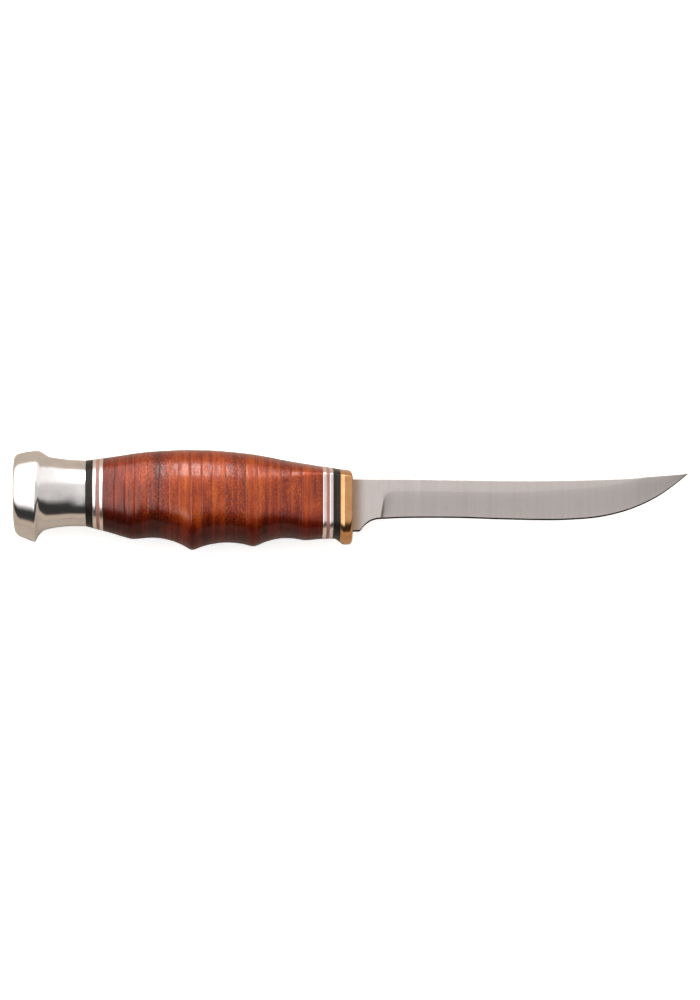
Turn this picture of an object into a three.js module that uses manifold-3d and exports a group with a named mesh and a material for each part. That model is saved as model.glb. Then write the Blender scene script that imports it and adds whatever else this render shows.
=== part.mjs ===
// A small fixed-blade knife with a hidden tang and a stacked leather handle, lying on its side.
//
// The blade, its shoulders and its tang are one bar of steel. The guard, the front spacers,
// twenty leather washers, the rear spacers and the pommel are threaded onto the tang, and a
// slotted round nut in the butt pulls the stack together.
//
// Inside the knife group X runs from the butt to the tip with 0 at the front of the guard,
// Y runs towards the spine with 0 halfway between the highest and the lowest point of the
// handle, and Z runs across the thickness with 0 in the middle plane. Millimetres.

import * as THREE from "three";
import { mergeVertices } from "three/addons/utils/BufferGeometryUtils.js";
import Module from "manifold-3d";

const wasm = await Module();
wasm.setup();

// ---------------------------------------------------------------- driving dimensions

const CLEARANCE = 0.3;          // between a piece and the hole it passes through

const HANDLE_LENGTH = 100.9;    // front of the guard to the butt face
const GUARD_THICKNESS = 3.8;
const BLACK_THICKNESS = 2.1;
const ALUMINIUM_THICKNESS = 1.05;
const RED_THICKNESS = 0.95;
const POMMEL_LENGTH = 21.4;
const WASHER_COUNT = 20;
// Hide varies, so no two washers are quite alike. Counted from the guard.
const WASHER_SHARES = [
  3.2, 3.2, 3.3, 3.0, 3.8, 3.3, 3.6, 2.4, 3.6, 3.9,
  3.2, 3.5, 3.5, 2.9, 2.9, 3.6, 3.7, 2.9, 3.2, 3.5,
];

const BLADE_LENGTH = 102.1;
const BLADE_THICKNESS = 2.8;
const EDGE_BEVEL_HEIGHT = 0.45;
const EDGE_BEVEL_THICKNESS = 0.6;
const EDGE_THICKNESS = 0.1;
const RICASSO_LENGTH = 8.6;     // the plunge of the grind begins here
const RICASSO_BOTTOM = -9.53;
const CHOIL_RADIUS = 6.8;
const HEEL_RADIUS = 1.1;
const TIP_HEIGHT = 7.95;

const TANG_AXIS = 0.8;          // height of the tang's centre line above Y = 0
const TANG_WIDTH = 8.6;
const TANG_END = -87;
const THREAD_DIAMETER = 4.8;
const THREAD_END = -99.6;
const NUT_DIAMETER = 9.4;
const NUT_THICKNESS = 3.4;
const NUT_RECESS = 0.3;         // how far the nut lies below the butt face
const NUT_SLOT_WIDTH = 1.2;
const NUT_SLOT_DEPTH = 1.0;

const CAP_STEPS = 8;            // of a section: over one cap, and down one flat side
const FLAT_STEPS = 4;
const ROUND_SIDES = 32;

// Where the pieces of the stack meet, from the guard back to the pommel.
const guardBack = -GUARD_THICKNESS;
const frontSpacersBack = guardBack - BLACK_THICKNESS - 2 * ALUMINIUM_THICKNESS - RED_THICKNESS;
const buttFace = -HANDLE_LENGTH;
const pommelFront = buttFace + POMMEL_LENGTH;
const leatherBack = pommelFront + BLACK_THICKNESS + 2 * ALUMINIUM_THICKNESS + RED_THICKNESS;

// ---------------------------------------------------------------- curves

// A smooth curve through [x, y] points, each point's slope taken from its neighbours.
function smoothThrough(points) {
  const last = points.length - 1;
  const slopes = points.map((_, i) => {
    const [xa, ya] = points[Math.max(i - 1, 0)];
    const [xb, yb] = points[Math.min(i + 1, last)];
    return (yb - ya) / (xb - xa);
  });
  return (x) => {
    let i = 0;
    while (i < last - 1 && x > points[i + 1][0]) i += 1;
    const [x0, y0] = points[i];
    const [x1, y1] = points[i + 1];
    const width = x1 - x0;
    const t = (x - x0) / width;
    const rise = t * t * (3 - 2 * t);
    const startSlope = t * (1 - t) * (1 - t) * slopes[i];
    const endSlope = t * t * (1 - t) * slopes[i + 1];
    return y0 + (y1 - y0) * rise + width * (startSlope - endSlope);
  };
}

// The greater of two values, with the corner where they cross rounded off.
function softMax(a, b, blend) {
  const near = Math.max(blend - Math.abs(a - b), 0) / blend;
  return Math.max(a, b) + (near * near * blend) / 4;
}

const between = (from, to, steps) =>
  Array.from({ length: steps + 1 }, (_, i) => from + ((to - from) * i) / steps);

// ---------------------------------------------------------------- outline of the handle

const backLine = smoothThrough([
  [-79.5, 11.87], [-72, 12.97], [-62, 14.42], [-52, 15.04],
  [-42, 14.95], [-30, 13.85], [-18, 11.68], [-3.8, 9.38],
]);

// The belly as it would be without finger grooves: it touches each ridge between them.
const bellyLine = smoothThrough([
  [-79.5, -7.9], [-73, -9.7], [-66, -11.75], [-57, -13.1], [-47.8, -15.35],
  [-38, -15.1], [-29.4, -14.35], [-21, -13.3], [-13.4, -12.45], [-3.8, -12.2],
]);

// Each finger groove is an arc: where it is deepest, how high it reaches, and its radius.
const fingerGrooves = [
  { x: -60, top: -11.38, radius: 20.2 },
  { x: -37.4, top: -12.85, radius: 22.8 },
  { x: -19.5, top: -11.55, radius: 18.8 },
  { x: -5.9, top: -11.7, radius: 36 },
];
const RIDGE_BLEND = 0.85;

function grooveLine({ x: centre, top, radius }, x) {
  const across = Math.min(Math.abs(x - centre), radius);
  return top - radius + Math.sqrt(radius * radius - across * across);
}

const undersideLine = (x) =>
  fingerGrooves.reduce(
    (height, groove) => softMax(height, grooveLine(groove, x), RIDGE_BLEND),
    bellyLine(x),
  );

// Half of the handle's thickness, seen from above.
const halfThickness = smoothThrough([
  [-79.5, 8.6], [-66, 9.7], [-50, 10.4], [-32, 9.9], [-9, 8.4], [-3.8, 8.1],
]);

// Height of the rounded caps over and under the flat sides. At the pommel the caps meet, and
// towards the guard the sides grow flat.
const topCap = smoothThrough([
  [-79.5, 9.7], [-64, 12.1], [-47, 13.1], [-31, 10.6], [-14.5, 4.2], [-6, 2.2], [-3.8, 2.2],
]);
const lowCap = smoothThrough([
  [-79.5, 9.7], [-64, 12.4], [-47, 14.2], [-31, 12], [-14.5, 8], [-6, 6.3], [-3.8, 6.7],
]);

// A finger groove leaves the lower cap more pointed. 2 is an ellipse.
const ELLIPSE = 2;
const GROOVE_DEPTH = 1.4;
const GROOVE_SHARPENING = 0.5;
const lowCapPower = (x) => {
  const depth = Math.min((undersideLine(x) - bellyLine(x)) / GROOVE_DEPTH, 1);
  return ELLIPSE - GROOVE_SHARPENING * depth;
};

// The guard's lower lobe grows out of the black spacer in a smooth flare.
const FLARE_START = -5.3;
const FLARE_END = -2.3;
const FLARE_DEPTH = 1.75;
const FLARE_SWELL = 0.5;
const flareAt = (x) => THREE.MathUtils.smoothstep(x, FLARE_START, FLARE_END);

// ---------------------------------------------------------------- sections

// The section at x: flat sides between an elliptical cap towards the spine and a lower cap,
// which reaches `bottom` where a finger groove lifts it above the plain `belly`.
function sectionRing(x, { top, belly, bottom, half, upper, lower, power = ELLIPSE }) {
  const flatTop = top - upper;
  const flatBottom = belly + lower;
  const side = between(0, Math.PI / 2, CAP_STEPS).map((angle) =>
    [flatTop + upper * Math.cos(angle), half * Math.sin(angle)]);
  between(flatTop, flatBottom, FLAT_STEPS).slice(1).forEach((y) => side.push([y, half]));
  between(0, Math.PI / 2, CAP_STEPS).slice(1).forEach((angle) => {
    const down = Math.sin(angle);
    const width = half * Math.max(1 - down * down, 0) ** (1 / power);
    side.push([flatBottom - (flatBottom - bottom) * down, width]);
  });
  const right = side.map(([y, z]) => new THREE.Vector3(x, y, z));
  const left = side.slice(1, -1).reverse().map(([y, z]) => new THREE.Vector3(x, y, -z));
  return [...right, ...left];
}

const handleRing = (x) =>
  sectionRing(x, {
    top: backLine(x),
    belly: bellyLine(x),
    bottom: undersideLine(x) - FLARE_DEPTH * flareAt(x),
    half: halfThickness(x) + FLARE_SWELL * flareAt(x),
    upper: topCap(x),
    lower: lowCap(x),
    power: lowCapPower(x),
  });

// ---------------------------------------------------------------- solids

// A closed skin over rings of equal length that follow each other towards +X.
function loft(rings) {
  const count = rings[0].length;
  const points = rings.flat();
  const faces = [];
  for (let r = 0; r < rings.length - 1; r += 1) {
    for (let i = 0; i < count; i += 1) {
      const a = r * count + i;
      const b = r * count + ((i + 1) % count);
      faces.push(a, b, a + count, b, b + count, a + count);
    }
  }
  const cap = (start, facesForward) => {
    const middle = new THREE.Vector3();
    points.slice(start, start + count).forEach((point) => middle.add(point));
    const centre = points.push(middle.divideScalar(count)) - 1;
    for (let i = 0; i < count; i += 1) {
      const a = start + i;
      const b = start + ((i + 1) % count);
      faces.push(centre, facesForward ? a : b, facesForward ? b : a);
    }
  };
  const lastStart = points.length - count;
  cap(0, false);
  cap(lastStart, true);
  const geometry = new THREE.BufferGeometry().setFromPoints(points);
  return geometry.setIndex(faces);
}

function solid(geometry) {
  const bare = geometry.clone();
  bare.deleteAttribute("normal");
  bare.deleteAttribute("uv");
  const merged = mergeVertices(bare, 1e-4);
  return new wasm.Manifold(new wasm.Mesh({
    numProp: 3,
    vertProperties: new Float32Array(merged.attributes.position.array),
    triVerts: new Uint32Array(merged.index.array),
  }));
}

function geometryOf(manifold) {
  const { vertProperties, triVerts } = manifold.getMesh();
  const geometry = new THREE.BufferGeometry();
  geometry.setAttribute("position", new THREE.BufferAttribute(vertProperties, 3));
  geometry.setIndex(new THREE.BufferAttribute(triVerts, 1));
  geometry.computeVertexNormals();
  return geometry;
}

// A round bar along X, centred on the tang.
const rod = (diameter, from, to) =>
  solid(
    new THREE.CylinderGeometry(diameter / 2, diameter / 2, to - from, ROUND_SIDES)
      .rotateZ(Math.PI / 2)
      .translate((from + to) / 2, TANG_AXIS, 0),
  );

// A square bar along X, centred on the tang.
const bar = (width, thickness, from, to) =>
  solid(
    new THREE.BoxGeometry(to - from, width, thickness).translate((from + to) / 2, TANG_AXIS, 0),
  );

// The slot that lets the flat tang through.
const tangSlot = (from, to) =>
  bar(TANG_WIDTH + 2 * CLEARANCE, BLADE_THICKNESS + 2 * CLEARANCE, from, to);

// ---------------------------------------------------------------- blade

const spineLine = smoothThrough([
  [0, 6.3], [18, 6.22], [36, 5.95], [54, 5.79], [68, 5.97], [82, 6.42], [92, 7.18],
  [BLADE_LENGTH, TIP_HEIGHT],
]);

const edgeLine = smoothThrough([
  [RICASSO_LENGTH, -5.75], [16, -5.44], [32, -5.45], [44, -5.83], [57, -6.12], [65, -6.03],
  [75, -5.2], [84, -3.0], [92, 0.55], [98, 4.58], [BLADE_LENGTH, TIP_HEIGHT - 0.1],
]);

// Where the flat of the blade ends and the grind begins. The plunge rises steeply from the
// edge, and near the tip the grind reaches the spine.
const grindLine = smoothThrough([
  [RICASSO_LENGTH, -5.0], [9.2, -1.6], [9.9, 0.95], [11.2, 2.2], [13.6, 2.7],
  [38, 2.42], [52, 2.42], [64, 3.05], [75, 4.0], [82, 5.1], [87.5, 6.35],
]);
const GRIND_MEETS_SPINE = 87.5;

// Underside of the ricasso: flat, round the heel, then up the choil to the edge.
function ricassoUnderside(x) {
  const choil = RICASSO_LENGTH;
  const choilTop = edgeLine(choil);
  const across = Math.min(choil - x, CHOIL_RADIUS);
  const sweep = choilTop - CHOIL_RADIUS + Math.sqrt(CHOIL_RADIUS ** 2 - across ** 2);
  return softMax(RICASSO_BOTTOM, sweep, HEEL_RADIUS);
}

// One section of the blade, anticlockwise seen from the tip: spine, grind, bevel and edge.
function bladeRing(x) {
  const spine = spineLine(x);
  const onRicasso = x <= RICASSO_LENGTH;
  const edge = onRicasso ? ricassoUnderside(x) : Math.min(edgeLine(x), spine - 0.05);
  const depth = spine - edge;
  const half = BLADE_THICKNESS / 2;
  const bevelTop = edge + Math.min(EDGE_BEVEL_HEIGHT, depth * 0.3);
  // Past the place where the grind meets the spine, the whole section thins to the tip.
  const fullDepth = spineLine(GRIND_MEETS_SPINE) - edgeLine(GRIND_MEETS_SPINE);
  const thinning = x > GRIND_MEETS_SPINE ? Math.max(depth / fullDepth, 0.12) : 1;
  const grind = x > GRIND_MEETS_SPINE ? spine - depth * 0.04 : Math.min(grindLine(x), spine - 0.3);
  const halfTop = half * thinning;
  const halfBevel = onRicasso ? half : (EDGE_BEVEL_THICKNESS / 2) * thinning;
  const halfEdge = onRicasso ? half : EDGE_THICKNESS / 2;
  const grindHeight = onRicasso ? (bevelTop + spine) / 2 : Math.max(grind, bevelTop + 0.05);
  const side = [
    [spine, halfTop], [grindHeight, halfTop], [bevelTop, halfBevel], [edge, halfEdge],
  ];
  const right = side.map(([y, z]) => new THREE.Vector3(x, y, z));
  const left = side.map(([y, z]) => new THREE.Vector3(x, y, -z)).reverse();
  return [...right, ...left];
}

function bladeWithTang() {
  const stations = [
    ...between(0, 2, 2), ...between(2.3, 4.1, 6), ...between(4.7, RICASSO_LENGTH, 5),
    ...between(8.8, 10.4, 8), 11.2, 12.3, 13.6,
    ...between(18, 86, 17), GRIND_MEETS_SPINE, ...between(90, BLADE_LENGTH, 8),
  ];
  return solid(loft(stations.map(bladeRing)))
    .add(bar(TANG_WIDTH, BLADE_THICKNESS, TANG_END, 1))
    .add(rod(THREAD_DIAMETER, THREAD_END, TANG_END + 1));
}

// ---------------------------------------------------------------- guard, washers, pommel

// A slice of the handle between two planes, with the slot for the tang.
function handleSlice(from, to, steps) {
  return solid(loft(between(from, to, steps).map(handleRing))).subtract(tangSlot(from - 1, to + 1));
}

// The guard runs on from the handle and is rounded off at the front.
const GUARD_ROUNDING = 1.1;
const GUARD_TOP_SLOPE = -0.115;

function guardRing(x) {
  const into = Math.max(x + GUARD_ROUNDING, 0);
  const shrink = GUARD_ROUNDING - Math.sqrt(GUARD_ROUNDING ** 2 - into ** 2);
  return sectionRing(x, {
    top: backLine(guardBack) + GUARD_TOP_SLOPE * (x - guardBack) - shrink,
    belly: bellyLine(guardBack) + shrink,
    bottom: undersideLine(guardBack) - FLARE_DEPTH * flareAt(x) + shrink,
    half: halfThickness(guardBack) + FLARE_SWELL * flareAt(x) - shrink,
    upper: topCap(guardBack),
    lower: lowCap(guardBack),
    power: lowCapPower(guardBack),
  });
}

function guard() {
  const stations = [...between(guardBack, -GUARD_ROUNDING, 6), -0.75, -0.45, -0.2, -0.06, 0];
  return solid(loft(stations.map(guardRing))).subtract(tangSlot(guardBack - 1, 1));
}

// The pommel: a neck that widens into a rim, which leans a little. Each row is one section:
// x and height of its highest point, the same of its lowest, half its thickness, and the
// power of its lower cap.
const pommelRows = [
  [buttFace, 12.4, buttFace, -8.1, 8.3, 1.6], [-100.75, 12.9, -100.75, -8.95, 8.75, 1.55],
  [-100.4, 13.4, -100.4, -9.75, 9.1, 1.5], [-99.5, 13.9, -99.5, -10.75, 9.45, 1.42],
  [-98, 14.3, -98, -11.45, 9.85, 1.38], [-96.2, 14.6, -96.6, -12.02, 10.24, 1.35],
  [-94.4, 14.76, -95.4, -12.42, 10.54, 1.35], [-93.5, 14.7, -94.85, -12.54, 10.6, 1.35],
  [-93.05, 14.57, -94.5, -12.38, 10.48, 1.36], [-92.7, 14.38, -94.25, -11.9, 10.28, 1.38],
  [-92.2, 14.05, -93.8, -11, 9.93, 1.45], [-91.6, 13.62, -93.1, -10.1, 9.6, 1.55],
  [-90.9, 13.22, -92.2, -9.27, 9.3, 1.7], [-90, 12.87, -91, -8.78, 9.02, 1.85],
  [-87.5, 12.5, -88, -8.2, 8.72, ELLIPSE], [-84, 12.08, -84, -7.83, 8.55, ELLIPSE],
  [pommelFront, 11.87, pommelFront, -7.9, 8.6, ELLIPSE],
];
const POMMEL_FLAT = 0.4;        // height of the flat sides, which the caps nearly close up

function pommelRing([topX, top, bottomX, bottom, half, power]) {
  const cap = (top - bottom - POMMEL_FLAT) / 2;
  const section = { top, belly: bottom, bottom, half, upper: cap, lower: cap, power };
  return sectionRing(0, section).map((point) => {
    const share = (point.y - bottom) / (top - bottom);
    return point.setX(bottomX + (topX - bottomX) * share);
  });
}

function pommel() {
  const rings = pommelRows.map(pommelRing);
  const recess = NUT_RECESS + NUT_THICKNESS;
  return solid(loft(rings))
    .subtract(tangSlot(TANG_END - 2 * CLEARANCE, pommelFront + 1))
    .subtract(rod(THREAD_DIAMETER + 2 * CLEARANCE, buttFace - 1, TANG_END + 1))
    .subtract(rod(NUT_DIAMETER + 2 * CLEARANCE, buttFace - 1, buttFace + recess));
}

// A round nut with a slot across its outer face.
function tangNut() {
  const outer = buttFace + NUT_RECESS;
  const slotLength = NUT_DIAMETER + 2;
  const slot = new THREE.BoxGeometry(NUT_SLOT_DEPTH * 2, slotLength, NUT_SLOT_WIDTH)
    .translate(outer, TANG_AXIS, 0);
  return rod(NUT_DIAMETER, outer, outer + NUT_THICKNESS)
    .subtract(rod(THREAD_DIAMETER + 2 * CLEARANCE, outer - 1, outer + NUT_THICKNESS + 1))
    .subtract(solid(slot));
}

// ---------------------------------------------------------------- materials

const finish = (color, roughness, metalness) =>
  new THREE.MeshStandardMaterial({ color, roughness, metalness });

const steel = finish(0xb9b3ae, 0.38, 1);
const brass = finish(0xc9975a, 0.22, 1);
const aluminium = finish(0xd6d4d2, 0.16, 1);
const blackSheet = finish(0x16110f, 0.3, 0);
const redSheet = finish(0x9c5d54, 0.35, 0);
const leather = finish(0xa5502a, 0.4, 0);

// ---------------------------------------------------------------- assembly

const knife = new THREE.Group();

function addPiece(name, manifold, material) {
  const mesh = new THREE.Mesh(geometryOf(manifold), material);
  mesh.name = name;
  knife.add(mesh);
}

// Threads pieces onto the tang one behind the other, and returns where the last one ends.
function stackPieces(front, pieces) {
  return pieces.reduce((x, { name, thickness, material, steps }) => {
    addPiece(name, handleSlice(x - thickness, x, steps ?? 2), material);
    return x - thickness;
  }, front);
}

addPiece("blade", bladeWithTang(), steel);
addPiece("guard", guard(), brass);

stackPieces(guardBack, [
  { name: "black_spacer_front", thickness: BLACK_THICKNESS, material: blackSheet, steps: 5 },
  { name: "aluminium_spacer_front_outer", thickness: ALUMINIUM_THICKNESS, material: aluminium },
  { name: "red_spacer_front", thickness: RED_THICKNESS, material: redSheet },
  { name: "aluminium_spacer_front_inner", thickness: ALUMINIUM_THICKNESS, material: aluminium },
]);

const leatherLength = frontSpacersBack - leatherBack;
const shareTotal = WASHER_SHARES.reduce((sum, share) => sum + share, 0);
stackPieces(
  frontSpacersBack,
  Array.from({ length: WASHER_COUNT }, (_, i) => ({
    name: `leather_washer_${String(i + 1).padStart(2, "0")}`,
    thickness: (leatherLength * WASHER_SHARES[i]) / shareTotal,
    material: leather,
    steps: 3,
  })),
);

stackPieces(leatherBack, [
  { name: "aluminium_spacer_rear_inner", thickness: ALUMINIUM_THICKNESS, material: aluminium },
  { name: "red_spacer_rear", thickness: RED_THICKNESS, material: redSheet },
  { name: "aluminium_spacer_rear_outer", thickness: ALUMINIUM_THICKNESS, material: aluminium },
  { name: "black_spacer_rear", thickness: BLACK_THICKNESS, material: blackSheet },
]);

addPiece("pommel", pommel(), aluminium);
addPiece("tang_nut", tangNut(), steel);

// The knife lies on its side: the origin is under the middle of its bounding box.
const bounds = new THREE.Box3().setFromObject(knife);
const centre = bounds.getCenter(new THREE.Vector3());
knife.position.set(-centre.x, -centre.y, -bounds.min.z);

const part = new THREE.Group();
part.add(knife);
export default part;
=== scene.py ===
"""Looks of a small fixed-blade knife with a stacked leather handle, lying on its side.

Lengths are in millimetres in the knife's own directions, as in the CAD part: x runs from
the butt to the tip with 0 at the front of the guard, y runs towards the spine, and z runs
across the thickness with 0 in the middle plane. place() turns them into the frame's metres.
"""

import math
import random

import bpy
from mathutils import Euler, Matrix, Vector, noise


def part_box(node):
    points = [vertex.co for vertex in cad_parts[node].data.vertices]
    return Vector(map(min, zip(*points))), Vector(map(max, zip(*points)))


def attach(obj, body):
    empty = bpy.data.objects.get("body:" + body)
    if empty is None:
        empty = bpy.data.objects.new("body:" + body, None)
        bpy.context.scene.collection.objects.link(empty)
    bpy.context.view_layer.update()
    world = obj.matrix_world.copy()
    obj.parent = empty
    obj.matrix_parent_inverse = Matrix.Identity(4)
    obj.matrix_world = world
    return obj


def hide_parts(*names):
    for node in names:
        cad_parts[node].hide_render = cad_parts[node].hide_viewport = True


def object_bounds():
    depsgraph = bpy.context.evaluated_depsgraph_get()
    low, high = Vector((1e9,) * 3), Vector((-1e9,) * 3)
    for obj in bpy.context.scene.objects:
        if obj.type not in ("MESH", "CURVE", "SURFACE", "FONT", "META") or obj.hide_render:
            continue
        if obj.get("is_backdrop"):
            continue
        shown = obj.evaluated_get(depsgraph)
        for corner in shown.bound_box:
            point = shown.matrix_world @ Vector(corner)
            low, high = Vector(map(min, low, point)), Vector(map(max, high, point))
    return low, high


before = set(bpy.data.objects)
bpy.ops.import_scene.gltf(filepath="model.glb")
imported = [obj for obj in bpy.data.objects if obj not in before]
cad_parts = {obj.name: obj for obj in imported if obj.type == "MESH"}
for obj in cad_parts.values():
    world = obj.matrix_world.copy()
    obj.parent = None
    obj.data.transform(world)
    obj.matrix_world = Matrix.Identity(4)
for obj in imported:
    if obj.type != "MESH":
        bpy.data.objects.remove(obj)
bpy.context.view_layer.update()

# ---------------------------------------------------------------- dimensions

MM = 0.001
CAP_STEPS = 34                   # of a section: over one cap, and down one flat side
FLAT_STEPS = 12
RING = 2 * (2 * CAP_STEPS + FLAT_STEPS)   # points round one section of the handle
SKIN = 0.03                      # how far inside the CAD's surface handle and guard are drawn
POMMEL_SKIN = SKIN + 0.02
CLEARANCE = 0.3                  # round the tang, the thread and the nut
TINY = 1e-6                      # keeps a division from meeting a zero

TIP_HEIGHT = 7.95
BLADE_LENGTH = 102.1
BLADE_THICKNESS = 2.8
RICASSO_LENGTH = 8.6
RICASSO_BOTTOM = -9.53
CHOIL_RADIUS = 6.8
HEEL_RADIUS = 1.1
EDGE_BEVEL_HEIGHT = 0.45
EDGE_BEVEL_THICKNESS = 0.6
EDGE_THICKNESS = 0.1
TANG_AXIS = 0.8
TANG_WIDTH = 8.6
TANG_END = -87.0
THREAD_DIAMETER = 4.8
THREAD_PITCH = 0.8
THREAD_DEPTH = 0.3
THREAD_END = -99.6
THREAD_END_BREAK = 0.4
NUT_DIAMETER = 9.4
NUT_THICKNESS = 3.4
NUT_RECESS = 0.3
NUT_SLOT_WIDTH = 1.2
NUT_SLOT_DEPTH = 1.0
NUT_CORNER = 0.35
NUT_POINTS = 96                  # round one section of the nut
NUT_SHARP = 30                   # degrees from which an edge of the nut is sharp
GUARD_ROUNDING = 1.1
GUARD_TOP_SLOPE = -0.115
GUARD_CORNER = 0.12              # the guard's corner towards the handle
GUARD_CORNER_PART = 0.04         # this far in, only 0.4 of that corner is left
GUARD_STEPS = 22
ROUNDING_STEPS = 10

guard_low, guard_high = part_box("guard")
blade_low, blade_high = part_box("blade")
ORIGIN = Vector((
    guard_high.x,
    blade_high.y - TIP_HEIGHT * MM,
    (blade_low.z + blade_high.z) / 2,
))


def place(x, y, z):
    """A point of the knife in the frame, in metres."""
    return ORIGIN + Vector((x, y, z)) * MM


def reach(node):
    """Where a CAD node begins and ends along the knife, in millimetres."""
    low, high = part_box(node)
    return (low.x - ORIGIN.x) / MM, (high.x - ORIGIN.x) / MM


# ---------------------------------------------------------------- curves

def smooth_through(points):
    """A smooth curve through (x, y) points, each slope taken from the neighbours."""
    last = len(points) - 1
    slopes = []
    for i in range(len(points)):
        xa, ya = points[max(i - 1, 0)]
        xb, yb = points[min(i + 1, last)]
        slopes.append((yb - ya) / (xb - xa))

    def at(x):
        i = 0
        while i < last - 1 and x > points[i + 1][0]:
            i += 1
        x0, y0 = points[i]
        x1, y1 = points[i + 1]
        width = x1 - x0
        t = (x - x0) / width
        rise = t * t * (3 - 2 * t)
        start = t * (1 - t) * (1 - t) * slopes[i]
        end = t * t * (1 - t) * slopes[i + 1]
        return y0 + (y1 - y0) * rise + width * (start - end)

    return at


def soft_max(a, b, blend):
    """The greater of two values, with the corner where they cross rounded off."""
    near = max(blend - abs(a - b), 0) / blend
    return max(a, b) + near * near * blend / 4


def smoothstep(x, low, high):
    t = min(max((x - low) / (high - low), 0), 1)
    return t * t * (3 - 2 * t)


def between(start, end, steps):
    return [start + (end - start) * i / steps for i in range(steps + 1)]


# ---------------------------------------------------------------- outline of the handle

back_line = smooth_through([
    (-79.5, 11.87), (-72, 12.97), (-62, 14.42), (-52, 15.04),
    (-42, 14.95), (-30, 13.85), (-18, 11.68), (-3.8, 9.38),
])
belly_line = smooth_through([
    (-79.5, -7.9), (-73, -9.7), (-66, -11.75), (-57, -13.1), (-47.8, -15.35),
    (-38, -15.1), (-29.4, -14.35), (-21, -13.3), (-13.4, -12.45), (-3.8, -12.2),
])
half_thickness = smooth_through([
    (-79.5, 8.6), (-66, 9.7), (-50, 10.4), (-32, 9.9), (-9, 8.4), (-3.8, 8.1),
])

# Height of the rounded caps over and under the flat sides. At the pommel the caps almost
# meet, and towards the guard the sides grow flat.
top_cap = smooth_through([
    (-79.5, 9.7), (-64, 12.1), (-47, 13.1), (-31, 10.6), (-14.5, 4.2), (-6, 2.2), (-3.8, 2.2),
])
low_cap = smooth_through([
    (-79.5, 9.7), (-64, 12.4), (-47, 14.2), (-31, 12), (-14.5, 8), (-6, 6.3), (-3.8, 6.7),
])

# Each finger groove is an arc: where it is deepest, how high it reaches, and its radius.
FINGER_GROOVES = [(-60, -11.38, 20.2), (-37.4, -12.85, 22.8), (-19.5, -11.55, 18.8), (-5.9, -11.7, 36)]
RIDGE_BLEND = 0.85

FLARE_START = -5.3
FLARE_END = -2.3
FLARE_DEPTH = 1.75
FLARE_SWELL = 0.5


def underside_line(x):
    height = belly_line(x)
    for centre, top, radius in FINGER_GROOVES:
        across = min(abs(x - centre), radius)
        arc = top - radius + math.sqrt(radius * radius - across * across)
        height = soft_max(height, arc, RIDGE_BLEND)
    return height


def flare(x):
    return smoothstep(x, FLARE_START, FLARE_END)


# A finger groove leaves the lower cap more pointed. 2 is an ellipse.
ELLIPSE = 2
GROOVE_DEPTH = 1.4
GROOVE_SHARPENING = 0.5


def low_cap_power(x):
    depth = min((underside_line(x) - belly_line(x)) / GROOVE_DEPTH, 1)
    return ELLIPSE - GROOVE_SHARPENING * depth


# ---------------------------------------------------------------- sections

def section_ring(x, top, belly, bottom, half, upper, lower, power=ELLIPSE, inset=SKIN):
    """The section at x: flat sides between an elliptical cap towards the spine and a lower
    cap, which reaches bottom where a finger groove lifts it above the plain belly."""
    top -= inset
    bottom += inset
    half -= inset
    flat_top = top - upper + inset
    flat_bottom = belly + lower
    side = []
    for angle in between(0, math.pi / 2, CAP_STEPS):
        side.append((flat_top + (top - flat_top) * math.cos(angle), half * math.sin(angle)))
    for y in between(flat_top, flat_bottom, FLAT_STEPS)[1:]:
        side.append((y, half))
    for angle in between(0, math.pi / 2, CAP_STEPS)[1:]:
        down = math.sin(angle)
        width = half * max(1 - down * down, 0) ** (1 / power)
        side.append((flat_bottom - (flat_bottom - bottom) * down, width))
    return two_sided(x, side)


def two_sided(x, side):
    """A closed ring from one side's outline, mirrored in the middle plane."""
    right = [(x, y, z) for y, z in side]
    left = [(x, y, -z) for y, z in side[-2:0:-1]]
    return right + left


def handle_ring(x, inset=SKIN):
    flared = flare(x)
    return section_ring(
        x,
        top=back_line(x),
        belly=belly_line(x),
        bottom=underside_line(x) - FLARE_DEPTH * flared,
        half=half_thickness(x) + FLARE_SWELL * flared,
        upper=top_cap(x),
        lower=low_cap(x),
        power=low_cap_power(x),
        inset=inset,
    )


def to_rectangle(width, thickness, cos, sin):
    """How far the side of a rectangle is from its centre, in one direction."""
    return min(width / 2 / max(abs(cos), TINY), thickness / 2 / max(abs(sin), TINY))


def round_ring(x, radius, count=RING):
    """A circle round the tang."""
    ring = []
    for i in range(count):
        angle = 2 * math.pi * i / count
        ring.append((x, TANG_AXIS + radius * math.cos(angle), radius * math.sin(angle)))
    return ring


def slot_ring(x):
    """The slot for the tang, a rectangle with its points at even angles."""
    width = TANG_WIDTH + 2 * CLEARANCE
    thickness = BLADE_THICKNESS + 2 * CLEARANCE
    ring = []
    for i in range(RING):
        angle = 2 * math.pi * i / RING
        cos, sin = math.cos(angle), math.sin(angle)
        away = to_rectangle(width, thickness, cos, sin)
        ring.append((x, TANG_AXIS + away * cos, away * sin))
    return ring


# ---------------------------------------------------------------- meshes

def mesh_object(name, points, faces, sharp_degrees):
    mesh = bpy.data.meshes.new(name)
    mesh.from_pydata([place(*point) for point in points], [], faces)
    mesh.validate()
    mesh.shade_smooth()
    mesh.set_sharp_from_angle(angle=math.radians(sharp_degrees))
    piece = bpy.data.objects.new(name, mesh)
    bpy.context.scene.collection.objects.link(piece)
    return piece


def skin_faces(ring_count, count, closed):
    """Quads between rings that follow each other, and back to the first if closed."""
    faces = []
    for r in range(ring_count if closed else ring_count - 1):
        here = r * count
        there = ((r + 1) % ring_count) * count
        for i in range(count):
            j = (i + 1) % count
            faces.append((here + i, here + j, there + j, there + i))
    return faces


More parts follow.
